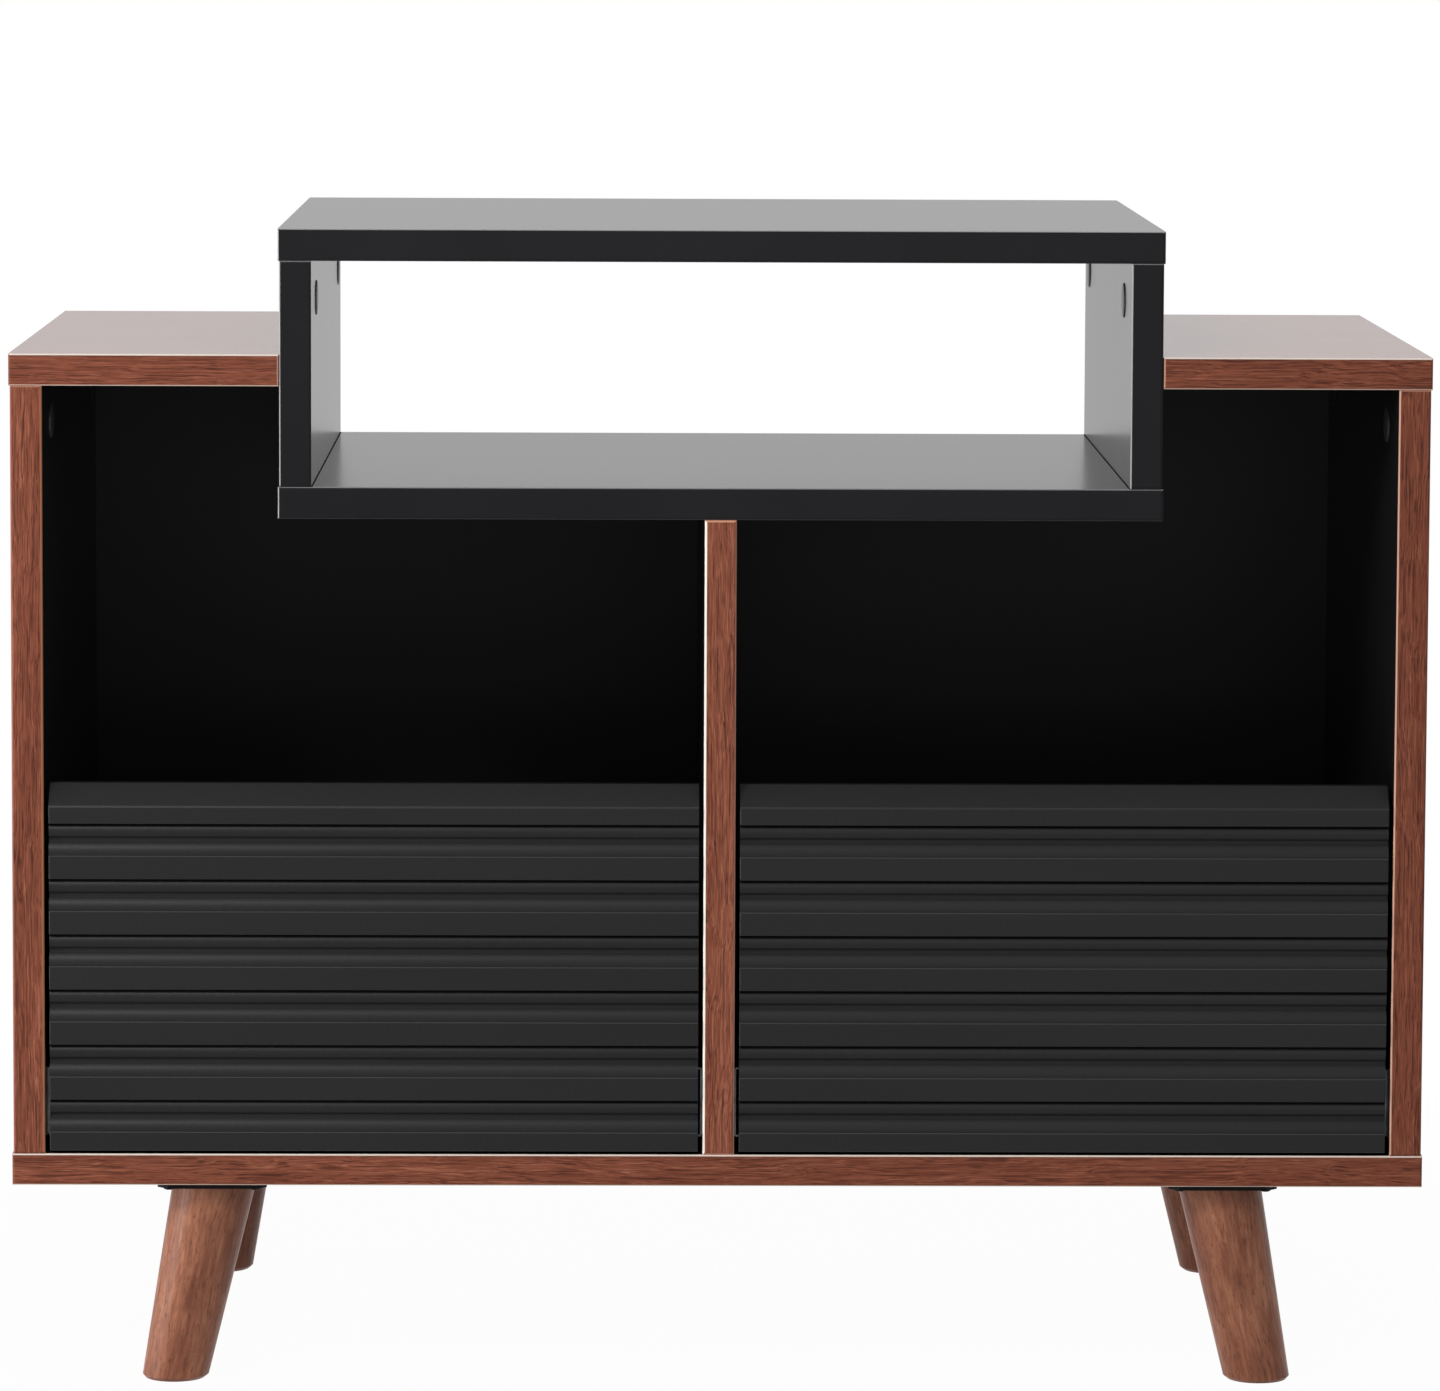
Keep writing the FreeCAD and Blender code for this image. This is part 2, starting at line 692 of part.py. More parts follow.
def ribbed_front(bay, low_x):
    """A finger-pull bevel over grooves, each of which holds two beads."""
    body = new_body(bay + "_drawer_front")
    height = size.front_height
    first_top = height - size.bevel_height - size.upper_flat
    pitch = (first_top - size.lower_flat - size.groove_height) / (size.groove_count - 1)
    corners = [(0, 0)]
    beads = []
    for number in reversed(range(int(size.groove_count.value))):
        top = first_top - number * pitch
        bottom = top - size.groove_height
        corners.append((0, bottom))
        beads += [(len(corners), size.lower_bead_rise), (len(corners) + 1, size.upper_bead_rise)]
        corners += [(size.groove_foot_depth, bottom),
                    (size.groove_valley_depth, top - size.upper_bead_height),
                    (size.groove_top_depth, top), (0, top)]
    corners += [(0, height - size.bevel_height), (size.bevel_depth, height),
                (size.front_thickness, height), (size.front_thickness, 0)]
    drawing = sketch(body, "YZ_Plane", "Section")
    outline(drawing, corners, beads)
    pad(body, drawing, front_width)
    dress(body, "Fillet", "Valleys", size.valley_radius,
          lambda edge: edge_at(edge, y=size.groove_valley_depth))
    dress(body, "Chamfer", "EasedRibs", size.rib_easing, lambda edge: edge_at(edge, y=0))
    panel_z = bay_floor_z + size.front_lift
    groove_low = drawer_bottom_z - size.drawer_groove_fit - panel_z
    side_x = size.runner_thickness + size.drawer_side - size.front_gap
    block(body, "BottomGroove",
          (side_x, size.front_thickness - size.drawer_groove, groove_low),
          (front_width - side_x, size.front_thickness,
           groove_low + size.drawer_bottom + 2 * size.drawer_groove_fit), adds=False)
    place(body, (low_x, front_y, panel_z))


def drawer(bay, walls):
    left_wall, right_wall = walls
    inner_left = left_wall + size.runner_thickness + size.drawer_side
    inner_right = right_wall - size.runner_thickness - size.drawer_side
    groove_low = drawer_bottom_z - size.drawer_groove_fit
    groove_high = drawer_bottom_z + size.drawer_bottom + size.drawer_groove_fit
    back_low_y = drawer_end_y - size.drawer_side
    ribbed_front(bay, left_wall + size.front_gap)
    for name, side, inner_x in (("left", -1, inner_left), ("right", 1, inner_right)):
        body = new_body("%s_drawer_%s_side" % (bay, name))
        low_x, high_x = ordered(inner_x, inner_x + side * size.drawer_side)
        block(body, "Blank", (low_x, drawer_y, drawer_z), (high_x, drawer_end_y, drawer_top_z))
        low_x, high_x = ordered(inner_x, inner_x + side * size.drawer_groove)
        block(body, "BottomGroove", (low_x, drawer_y, groove_low), (high_x, drawer_end_y, groove_high),
              adds=False)
    play = size.drawer_groove_fit
    reach = size.drawer_groove - play
    body = new_body(bay + "_drawer_bottom")
    block(body, "Panel", (inner_left - reach, drawer_y, drawer_bottom_z),
          (inner_right + reach, drawer_end_y, drawer_bottom_z + size.drawer_bottom))
    block(body, "FrontTongue", (inner_left + play, drawer_y - reach, drawer_bottom_z),
          (inner_right - play, drawer_y, drawer_bottom_z + size.drawer_bottom))
    body = new_body(bay + "_drawer_back")
    block(body, "Panel", (inner_left, back_low_y, drawer_bottom_z + size.drawer_bottom),
          (inner_right, drawer_end_y, drawer_top_z))
    drawer_dowels(bay, {-1: inner_left, 1: inner_right}, back_low_y + size.drawer_side / 2)


def drawer_dowels(bay, inner_faces, back_middle_y):
    """Dowels from the sides into the front, and from the back into the sides."""
    outer_end = size.drawer_dowel_length - size.drawer_dowel_bite
    levels = (drawer_z + size.drawer_dowel_inset, drawer_top_z - size.drawer_dowel_inset)
    places = []
    for side, inner_x in inner_faces.items():
        for z in levels:
            places.append(((inner_x + side * size.drawer_side / 2, drawer_y + outer_end, z),
                           facing(-Y_AXIS)))
            places.append(((inner_x - side * outer_end, back_middle_y, z), facing(side * X_AXIS)))
    master = round_master(bay + "_drawer_dowel", size.drawer_dowel_diameter, size.drawer_dowel_length,
                          size.rod_sides)
    group(bay + "_drawer_dowels", master, places)


# ---- the cabinet ------------------------------------------------------------------------------------

def build():
    bottom_panel()
    centre_divider()
    riser_floor()
    riser_top()
    back_panel()
    for name, side in SIDES.items():
        side_panel(name, side)
        top_board(name, side)
        riser_side(name, side)
    carcass_joints()
    legs()
    runners()
    for bay, walls in BAYS.items():
        drawer(bay, walls)


def check_and_export():
    doc.recompute()
    for feature in doc.Objects:
        if "Invalid" in feature.State or "Error" in feature.State:
            raise RuntimeError("%s failed: %s" % (feature.Label, feature.State))
    os.makedirs("parts", exist_ok=True)
    for part in PARTS:
        if part.Shape.isNull() or not part.Shape.isValid():
            raise RuntimeError(part.Label + " has no valid shape")
        part.Shape.exportStep("parts/%s.step" % part.Label)
        print("%-36s %d solids %10.1f cm3" % (part.Label, len(part.Shape.Solids), part.Shape.Volume / 1000))


build()
check_and_export()
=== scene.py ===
"""Looks of the record cabinet: its finishes, small fasteners and runner balls, and the studio."""
import bmesh
import bpy
import math
from mathutils import Matrix, Vector

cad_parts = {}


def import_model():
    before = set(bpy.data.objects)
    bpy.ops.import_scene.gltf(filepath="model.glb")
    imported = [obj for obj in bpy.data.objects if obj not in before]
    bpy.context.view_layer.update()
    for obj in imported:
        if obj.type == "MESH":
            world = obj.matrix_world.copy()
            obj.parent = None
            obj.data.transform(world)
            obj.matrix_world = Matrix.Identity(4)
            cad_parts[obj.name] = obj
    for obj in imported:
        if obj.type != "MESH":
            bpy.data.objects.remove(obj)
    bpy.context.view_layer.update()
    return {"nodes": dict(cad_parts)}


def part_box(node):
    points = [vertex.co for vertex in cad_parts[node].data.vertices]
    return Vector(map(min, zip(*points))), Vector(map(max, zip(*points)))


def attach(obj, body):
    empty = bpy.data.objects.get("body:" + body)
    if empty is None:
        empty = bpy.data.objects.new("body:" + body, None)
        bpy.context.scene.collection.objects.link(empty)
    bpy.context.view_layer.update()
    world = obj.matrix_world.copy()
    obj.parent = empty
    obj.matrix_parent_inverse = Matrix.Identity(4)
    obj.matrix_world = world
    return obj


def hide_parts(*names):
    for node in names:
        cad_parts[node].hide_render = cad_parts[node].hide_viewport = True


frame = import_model()

MM = 0.001
X, Y, Z = 0, 1, 2
FRONT_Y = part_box("bottom_panel")[0].y
EASING = 1.6 * MM
EDGE_BAND = 1.5 * MM
PULL_BEVEL = 12.2 * MM
BEVEL_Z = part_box("left_drawer_front")[1].z - PULL_BEVEL
LEG_LEAN = math.radians(11.4)
SOFT = 0.05 * MM


# ---- node trees -------------------------------------------------------------------------------------

def srgb(*channels):
    """A colour as it is seen on screen, 0 to 255, as the linear colour of a socket."""
    def linear(c):
        c /= 255
        return c / 12.92 if c <= 0.04045 else ((c + 0.055) / 1.055) ** 2.4
    return tuple(linear(c) for c in channels) + (1.0,)


class Finish:
    """A material's node tree, with short calls for the nodes that the finishes use."""

    def __init__(self, name):
        self.material = bpy.data.materials.new(name)
        self.material.use_nodes = True
        self.tree = self.material.node_tree
        self.shader = next(n for n in self.tree.nodes if n.type == "BSDF_PRINCIPLED")
        coords = self.tree.nodes.new("ShaderNodeTexCoord")
        self.place = coords.outputs["Object"]
        self.x, self.y, self.z = self.parts(self.place)
        self.facing = self.parts(coords.outputs["Normal"])

    def put(self, socket, value):
        if isinstance(value, bpy.types.NodeSocket):
            self.tree.links.new(value, socket)
        else:
            socket.default_value = value

    def add(self, kind, inputs, **settings):
        node = self.tree.nodes.new(kind)
        for name, value in settings.items():
            setattr(node, name, value)
        for name, value in inputs.items():
            self.put(node.inputs[name], value)
        return node

    def parts(self, vector):
        return self.add("ShaderNodeSeparateXYZ", {0: vector}).outputs[0:3]

    def math(self, operation, a, b=0.0, c=0.0):
        return self.add("ShaderNodeMath", {0: a, 1: b, 2: c}, operation=operation).outputs[0]

    def mix(self, factor, a, b):
        node = self.add("ShaderNodeMix", {"Factor": factor}, data_type="RGBA")
        self.put(node.inputs[6], a)
        self.put(node.inputs[7], b)
        return node.outputs[2]

    def span(self, value, low, high, to_low=0.0, to_high=1.0):
        """Map a range of a value to another, held at its ends."""
        inputs = {"Value": value, "From Min": low, "From Max": high, "To Min": to_low, "To Max": to_high}
        return self.add("ShaderNodeMapRange", inputs, clamp=True).outputs[0]

    def ramp(self, factor, *stops):
        """A colour ramp of (position, colour) stops."""
        node = self.add("ShaderNodeValToRGB", {"Fac": factor})
        elements = node.color_ramp.elements
        while len(elements) < len(stops):
            elements.new(0.5)
        for element, (position, colour) in zip(elements, stops):
            element.position = position
            element.color = colour
        return node.outputs["Color"]

    def combine(self, x, y, z):
        return self.add("ShaderNodeCombineXYZ", {0: x, 1: y, 2: z}).outputs[0]

    def scaled(self, vector, x, y, z):
        inputs = {0: vector, 1: (x, y, z)}
        return self.add("ShaderNodeVectorMath", inputs, operation="MULTIPLY").outputs[0]

    def noise(self, vector, scale=1.0, detail=2.0, roughness=0.5):
        inputs = {"Vector": vector, "Scale": scale, "Detail": detail, "Roughness": roughness}
        return self.add("ShaderNodeTexNoise", inputs).outputs["Fac"]

    def surface(self, colour, roughness, height, depth, strength, **constants):
        """Link the shader. depth is the height's full relief in metres."""
        self.put(self.shader.inputs["Base Color"], colour)
        self.put(self.shader.inputs["Roughness"], roughness)
        bump = self.add("ShaderNodeBump", {"Height": height, "Distance": depth, "Strength": strength})
        self.put(self.shader.inputs["Normal"], bump.outputs["Normal"])
        for name, value in constants.items():
            self.shader.inputs[name.replace("_", " ")].default_value = value
        return self.material


# ---- finishes ---------------------------------------------------------------------------------------

def walnut_grain(finish, along, seed, lift):
    """Printed reddish walnut: broad figure, wavy dark lines and short pores that run along one axis.

    seed moves the print along the grain, and lift makes it paler.
    """
    def stretched(length, width):
        return [1 / length if axis == along else 1 / width for axis in (X, Y, Z)]

    def swayed(length, width, reach):
        noise = finish.noise(finish.scaled(finish.place, *stretched(length, width)), detail=1.0)
        return finish.math("MULTIPLY", finish.math("SUBTRACT", noise, 0.5), reach)

    sway = finish.math("ADD", swayed(0.23, 0.06, 0.012), swayed(0.034, 0.011, 0.0042))
    shifted = [finish.math("ADD", value, seed if axis == along else sway)
               for axis, value in enumerate((finish.x, finish.y, finish.z))]
    place = finish.combine(*shifted)

    def layer(length, width, **settings):
        return finish.noise(finish.scaled(place, *stretched(length, width)), **settings)

    broad = layer(0.25, 0.010, detail=2.0)
    fibres = layer(0.034, 0.0007, detail=3.0, roughness=0.62)
    lines = layer(0.065, 0.0010, detail=2.0, roughness=0.5)
    pores = finish.span(layer(0.009, 0.0006, detail=1.0), 0.56, 0.68)
    tone = finish.math("MULTIPLY_ADD", broad, 0.25, finish.math("MULTIPLY_ADD", fibres, 0.75, lift))
    colour = finish.ramp(tone, (0.34, srgb(92, 47, 36)), (0.45, srgb(124, 69, 51)),
                         (0.55, srgb(140, 80, 60)), (0.66, srgb(170, 106, 82)))
    colour = finish.mix(finish.span(lines, 0.43, 0.35, 0.0, 0.7), colour, srgb(66, 33, 26))
    colour = finish.mix(finish.math("MULTIPLY", pores, 0.45), colour, srgb(62, 32, 25))
    return colour, finish.math("MULTIPLY_ADD", pores, -0.6, fibres)


def black_laminate(finish, dark=srgb(23, 23, 24), light=srgb(30, 30, 32)):
    """Satin black melamine with a fine pebbled press."""
    cloud = finish.noise(finish.place, scale=9.0, detail=3.0)
    press = finish.noise(finish.place, scale=1500.0, detail=2.0, roughness=0.6)
    tone = finish.math("MULTIPLY_ADD", cloud, 0.6, finish.math("MULTIPLY", press, 0.4))
    colour = finish.ramp(tone, (0.30, dark), (0.70, light))
    return colour, press


def painted_edge_light(finish, colour, axis, sign, tint, strength, reach):
    """Paint a line on the eased front edge on one side: a painted highlight where the tint is pale,
    painted shade where it is dark.

    sign 0 is the side towards the middle of the cabinet. reach is the sine of the angle from the
    front at which the line starts.
    """
    front = finish.span(finish.y, FRONT_Y + EASING, FRONT_Y + EASING + SOFT, 1.0, 0.0)
    sign = float(sign) if sign else finish.math("SIGN", finish.math("MULTIPLY", finish.x, -1.0))
    toward = finish.math("MULTIPLY", finish.facing[axis], sign)
    line = finish.span(toward, reach - 0.12, reach + 0.12, 0.0, strength)
    return finish.mix(finish.math("MULTIPLY", front, line), colour, tint)


def board_finish(name, along, inward, seed, lines, lift=0.0):
    """A board that is walnut outside and on its edge bands, and black on the faces that look inward.

    inward is the (axis, sign) of the black face, where sign 0 stands for both faces. lines are the
    arguments of the board's painted edge highlights and shade lines: axis, sign, tint, strength and
    reach.
    """
    finish = Finish(name)
    walnut, grain = walnut_grain(finish, along, seed, lift)
    black, press = black_laminate(finish)
    axis, sign = inward
    toward = finish.facing[axis]
    if sign == 0:
        toward = finish.math("ABSOLUTE", toward)
    else:
        toward = finish.math("MULTIPLY", toward, float(sign))
    inside = finish.span(toward, 0.70, 0.72)
    band_y = FRONT_Y + EDGE_BAND
    behind_band = finish.span(finish.y, band_y - SOFT, band_y + SOFT)
    inside = finish.math("MULTIPLY", inside, behind_band)
    colour = finish.mix(inside, walnut, black)
    seam = finish.span(finish.y, band_y, band_y + 0.1 * MM)
    seam_end = finish.span(finish.y, band_y + 0.4 * MM, band_y + 0.5 * MM, 1.0, 0.0)
    seam = finish.math("MULTIPLY", seam, seam_end)
    colour = finish.mix(finish.math("MULTIPLY", seam, 0.7), colour, srgb(30, 18, 14))
    # Painted highlight and painted shade lines along the eased front edges.
    for line in lines:
        colour = painted_edge_light(finish, colour, *line)
    height = finish.add("ShaderNodeMix", {"Factor": inside, "A": grain, "B": press}).outputs[0]
    band = finish.span(finish.facing[Y], -0.6, -0.5, 0.24, 0.0)
    rough = finish.span(press, 0.3, 0.7, 0.185, 0.20)
    rough = finish.math("ADD", rough, band)
    return finish.surface(colour, rough, height, 0.004 * MM, 0.4, Specular_IOR_Level=0.11)


# Painted highlights on the riser's eased edges: grey tints on the black.
RISER_LINES = ((X, -1, srgb(196, 194, 194), 0.85, 0.62), (Z, 1, srgb(175, 173, 175), 0.75, 0.74),
               (X, 1, srgb(110, 110, 110), 0.5, 0.85), (Z, -1, srgb(96, 96, 98), 0.6, 0.70))


def black_board_finish():
    """The riser's boards, with a dark seam in the corners where its sides stand on its floor."""
    finish = Finish("riser_black_board")
    # The riser's black is paler than the bays' black: painted light, for the stronger light on the
    # riser.
    colour, press = black_laminate(finish, srgb(25, 25, 27), srgb(33, 33, 36))
    # Painted highlight lines along the riser's eased front edges.
    for line in RISER_LINES:
        colour = painted_edge_light(finish, colour, *line)
    floor_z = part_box("riser_floor")[1].z
    corner_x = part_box("riser_right_side")[0].x
    across = finish.math("ABSOLUTE", finish.x)

    def within(value, low, high):
        """1 between two places, 0 elsewhere."""
        rise = finish.span(value, low, low + SOFT)
        return finish.math("MULTIPLY", rise, finish.span(value, high, high + SOFT, 1.0, 0.0))

    on_floor = finish.math("MULTIPLY", within(across, corner_x - 0.65 * MM, corner_x),
                           within(finish.z, floor_z - 0.1 * MM, floor_z))
    on_side = within(finish.z, floor_z + 0.02 * MM, floor_z + 0.4 * MM)
    seam = finish.math("MAXIMUM", on_floor, on_side)
    colour = finish.mix(seam, colour, srgb(6, 6, 6))
    rough = finish.span(press, 0.3, 0.7, 0.22, 0.24)
    rough = finish.math("MULTIPLY_ADD", seam, 0.7, rough)
    return finish.surface(colour, rough, press, 0.004 * MM, 0.4, Specular_IOR_Level=0.08)


def ribbed_finish():
    """Black wrapped MDF with a fine leather grain.

    Painted highlights make the wrap paler on the front edges of the ribs. The valleys between the beads
    are matt, with painted light on their slopes that face downward and painted shade on their up-facing
    slopes.
    """
    finish = Finish("ribbed_black_front")
    cells = finish.scaled(finish.place, 420.0, 420.0, 620.0)
    cells = finish.add("ShaderNodeTexVoronoi", {"Vector": cells, "Scale": 1.0}).outputs["Distance"]
    grain = finish.noise(finish.scaled(finish.place, 500.0, 900.0, 1100.0), detail=3.0, roughness=0.6)
    height = finish.math("MULTIPLY_ADD", cells, 0.6, grain)
    cloud = finish.noise(finish.scaled(finish.place, 3.0, 3.0, 12.0), detail=3.0)
    tone = finish.math("MULTIPLY_ADD", grain, 0.5, finish.math("MULTIPLY", cloud, 0.5))
    colour = finish.ramp(tone, (0.35, srgb(19, 19, 20)), (0.50, srgb(24, 24, 26)),
                         (0.68, srgb(30, 30, 32)))
    rib = finish.span(finish.y, FRONT_Y + 0.52 * MM, FRONT_Y + 0.60 * MM, 1.0, 0.0)
    # Painted highlight: the up-facing front edges of the ribs are tinted paler, as they catch the light.
    up = finish.span(finish.facing[Z], 0.35, 0.55, 0.0, 0.4)
    colour = finish.mix(finish.math("MULTIPLY", rib, up), colour, srgb(84, 84, 86))
    # Painted highlight on the ribs' front edges that face downward, too.
    down = finish.span(finish.facing[Z], -0.35, -0.55, 0.0, 0.3)
    colour = finish.mix(finish.math("MULTIPLY", rib, down), colour, srgb(80, 80, 84))
    valley = finish.span(finish.y, FRONT_Y + 3.2 * MM, FRONT_Y + 4.2 * MM)
    under_bevel = finish.span(finish.z, BEVEL_Z - 0.1 * MM, BEVEL_Z, 1.0, 0.0)
    valley = finish.math("MULTIPLY", valley, under_bevel)
    # In the valleys, painted light makes the slopes that face downward paler.
    above = finish.math("MULTIPLY", valley, finish.span(finish.facing[Z], -0.20, -0.45, 0.0, 0.35))
    colour = finish.mix(above, colour, srgb(74, 74, 76))
    # Painted shade makes the valleys' up-facing slopes darker.
    valley_painted_shade = finish.math("MULTIPLY", valley, finish.span(finish.facing[Z], 0.0, 0.3))
    colour = finish.mix(valley_painted_shade, colour, srgb(10, 10, 11))
    rough = finish.span(grain, 0.3, 0.7, 0.38, 0.46)
    rough = finish.math("MULTIPLY_ADD", valley, 0.3, rough)
    return finish.surface(colour, rough, height, 0.07 * MM, 0.6, Specular_IOR_Level=0.22)


def leg_finish():
    """Stained solid wood: pale and dark patches, and dark flecks that lean with the leg.

    Each leg's wood is cut from another part of the same figure.
    """
    finish = Finish("leg_stained_wood")
    top_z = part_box("legs")[1].z
    side = finish.math("SIGN", finish.x)
    row = finish.math("SIGN", finish.y)
    drift = finish.math("MULTIPLY", finish.math("SUBTRACT", top_z, finish.z), math.tan(LEG_LEAN))
    x = finish.math("SUBTRACT", finish.math("ABSOLUTE", finish.x), drift)
    x = finish.math("MULTIPLY", x, side)
    z = finish.math("MULTIPLY_ADD", side, 0.37, finish.math("MULTIPLY_ADD", row, 0.83, finish.z))
    place = finish.combine(x, finish.y, z)
    sway = finish.noise(finish.scaled(place, 12.0, 12.0, 9.0), detail=2.0)
    sway = finish.math("MULTIPLY", finish.math("SUBTRACT", sway, 0.5), 0.010)
    place = finish.combine(finish.math("ADD", x, sway), finish.math("ADD", finish.y, sway), z)
    patches = finish.noise(finish.scaled(place, 60.0, 60.0, 16.0), detail=3.0, roughness=0.55)
    streaks = finish.noise(finish.scaled(place, 420.0, 420.0, 60.0), detail=3.0, roughness=0.6)
    flecks = finish.noise(finish.scaled(place, 900.0, 900.0, 190.0), detail=2.0, roughness=0.6)
    tone = finish.math("MULTIPLY_ADD", streaks, 0.5, finish.math("MULTIPLY", patches, 0.5))
    colour = finish.ramp(tone, (0.34, srgb(118, 70, 53)), (0.47, srgb(142, 89, 67)),
                         (0.54, srgb(156, 101, 77)), (0.66, srgb(180, 124, 95)))
    colour = finish.mix(finish.span(flecks, 0.57, 0.68, 0.0, 0.55), colour, srgb(72, 40, 31))
    rough = finish.span(streaks, 0.3, 0.7, 0.46, 0.36)
    return finish.surface(colour, rough, flecks, -0.05 * MM, 0.5, Specular_IOR_Level=0.2)


def metal_finish(name, light, dark, scale, low_rough, high_rough, metallic=1.0, specular=0.5):
    """Plated or coated steel: a faint mottle and fine rolling marks."""
    finish = Finish(name)
    mottle = finish.noise(finish.place, scale=scale, detail=4.0, roughness=0.6)
    marks = finish.noise(finish.scaled(finish.place, 60.0, 6.0, 900.0), detail=2.0)
    tone = finish.math("MULTIPLY_ADD", marks, 0.4, finish.math("MULTIPLY", mottle, 0.6))
    colour = finish.ramp(tone, (0.32, dark), (0.66, light))
    rough = finish.span(tone, 0.3, 0.7, high_rough, low_rough)
    return finish.surface(colour, rough, tone, 0.02 * MM, 0.4, Metallic=metallic,
                          Specular_IOR_Level=specular)


def plain_finish(name, light, dark, scale, rough, depth, stretch=(1.0, 1.0, 1.0), specular=0.4):
    """Plastic, foil or raw wood: two tones in a fine mottle, with a matching relief."""
    finish = Finish(name)
    place = finish.scaled(finish.place, *stretch)
    mottle = finish.noise(place, scale=scale, detail=4.0, roughness=0.6)
    cloud = finish.noise(finish.place, scale=14.0, detail=2.0)
    tone = finish.math("MULTIPLY_ADD", mottle, 0.65, finish.math("MULTIPLY", cloud, 0.35))
    colour = finish.ramp(tone, (0.34, dark), (0.66, light))
    spread = finish.span(mottle, 0.3, 0.7, rough - 0.05, rough + 0.05)
    return finish.surface(colour, spread, mottle, depth, 0.5, Specular_IOR_Level=specular)


def back_finish():
    """Hardboard: smooth and black towards the bays, bare brown fibre behind."""
    finish = Finish("back_hardboard")
    black, press = black_laminate(finish, srgb(29, 29, 30), srgb(36, 36, 38))
    fibre = finish.noise(finish.scaled(finish.place, 260.0, 260.0, 260.0), detail=5.0, roughness=0.7)
    cloud = finish.noise(finish.place, scale=6.0, detail=3.0)
    tone = finish.math("MULTIPLY_ADD", fibre, 0.6, finish.math("MULTIPLY", cloud, 0.4))
    brown = finish.ramp(tone, (0.34, srgb(96, 68, 46)), (0.52, srgb(122, 90, 62)),
                        (0.68, srgb(146, 112, 80)))
    inside = finish.span(finish.facing[Y], -0.5, -0.4, 1.0, 0.0)
    colour = finish.mix(inside, brown, black)
    rough = finish.span(inside, 0.0, 1.0, 0.7, 0.36)
    return finish.surface(colour, rough, fibre, 0.05 * MM, 0.5, Specular_IOR_Level=0.1)


# Tints for the eased edges of the walnut boards: the pale ones, CREAM, ROSE, TAN and the like, are
# painted highlights, and SHADOW and the dark brown are painted shade.
CREAM = srgb(250, 234, 222)
ROSE = srgb(214, 160, 140)
TAN = srgb(190, 126, 92)
SHADOW = srgb(24, 12, 9)
# Top boards: painted shade low on the top rounding, at the very edge of the lower rounding and at the
# inner end by the riser; painted highlights on the rest of both roundings and the inner end.
TOP_LINES = ((Z, 1, srgb(70, 34, 26), 0.7, 0.25), (Z, 1, CREAM, 0.95, 0.52),
             (Z, -1, srgb(255, 226, 206), 0.95, 0.6), (Z, -1, SHADOW, 0.9, 0.94),
             (X, 0, ROSE, 0.9, 0.3), (X, 0, SHADOW, 0.95, 0.75))
LEFT_LINES = ((X, 1, TAN, 0.85, 0.25), (X, -1, srgb(168, 106, 92), 0.5, 0.5), (Z, 1, ROSE, 0.6, 0.6))
RIGHT_LINES = ((X, -1, srgb(236, 186, 162), 0.85, 0.5), (Z, 1, ROSE, 0.6, 0.6))
DIVIDER_LINES = ((X, -1, srgb(255, 246, 234), 1.0, 0.24), (Z, 1, srgb(232, 168, 140), 0.8, 0.3),
                 (Z, -1, ROSE, 0.8, 0.5), (X, 1, ROSE, 0.8, 0.62))
walnut_top = board_finish("walnut_top_board", X, (Z, -1), 0.0, TOP_LINES)
walnut_bottom = board_finish("walnut_bottom_panel", X, (Z, 1), 3.7, TOP_LINES[:3])
walnut_left = board_finish("walnut_left_panel", Z, (X, 1), 1.3, LEFT_LINES)
walnut_right = board_finish("walnut_right_panel", Z, (X, -1), 2.1, RIGHT_LINES)
# The divider's walnut is lifted paler: painted light, for the stronger light that falls on it.
walnut_divider = board_finish("walnut_divider", Z, (X, 0), 5.9, DIVIDER_LINES, lift=0.06)
riser_black = black_board_finish()
back_board = back_finish()
ribbed = ribbed_finish()
drawer_board = plain_finish("drawer_black_foil", srgb(36, 36, 38), srgb(23, 23, 25), 900.0, 0.42,
                            0.03 * MM, (1.0, 0.3, 1.0), 0.3)
leg_wood = leg_finish()
black_steel = metal_finish("black_coated_steel", srgb(24, 22, 22), srgb(12, 11, 12), 700.0, 0.4, 0.5,
                           metallic=0.0, specular=0.08)
zinc = metal_finish("zinc_plate", srgb(205, 206, 210), srgb(138, 140, 146), 260.0, 0.24, 0.42)
runner_steel = metal_finish("runner_zinc", srgb(124, 127, 132), srgb(84, 87, 92), 90.0, 0.30, 0.42)
cage_steel = metal_finish("cage_steel", srgb(150, 148, 140), srgb(96, 95, 92), 200.0, 0.34, 0.5)
ball_steel = metal_finish("ball_steel", srgb(226, 228, 232), srgb(176, 178, 184), 400.0, 0.10, 0.2)
cap_plastic = plain_finish("cap_plastic", srgb(84, 84, 86), srgb(62, 62, 64), 1300.0, 0.38, 0.02 * MM)
dowel_wood = plain_finish("beech_dowel", srgb(206, 170, 126), srgb(160, 120, 82), 500.0, 0.62,
                          0.05 * MM, (1.0, 1.0, 0.15))

FINISHES = {
    "left_top_board": walnut_top, "right_top_board": walnut_top, "bottom_panel": walnut_bottom,
    "left_side_panel": walnut_left, "right_side_panel": walnut_right, "centre_divider": walnut_divider,
    "riser_floor": riser_black, "riser_top": riser_black,
    "riser_left_side": riser_black, "riser_right_side": riser_black,
    "back_panel": back_board, "legs": leg_wood, "leg_plates": black_steel,
    "leg_bolts": zinc, "cam_bolts": zinc, "cam_locks": zinc, "carcass_screws": zinc,
    "cam_caps": cap_plastic, "dowels": dowel_wood,
}


def finish_of(name):
    if name in FINISHES:
        return FINISHES[name]
    for ending, material in (("_member", runner_steel), ("_ball_cages", cage_steel), ("_front", ribbed),
                             ("_dowels", dowel_wood)):
        if name.endswith(ending):
            return material
    return drawer_board


for name, node in frame["nodes"].items():
    node.data.materials.clear()
    node.data.materials.append(finish_of(name))


# ---- small pieces -----------------------------------------------------------------------------------

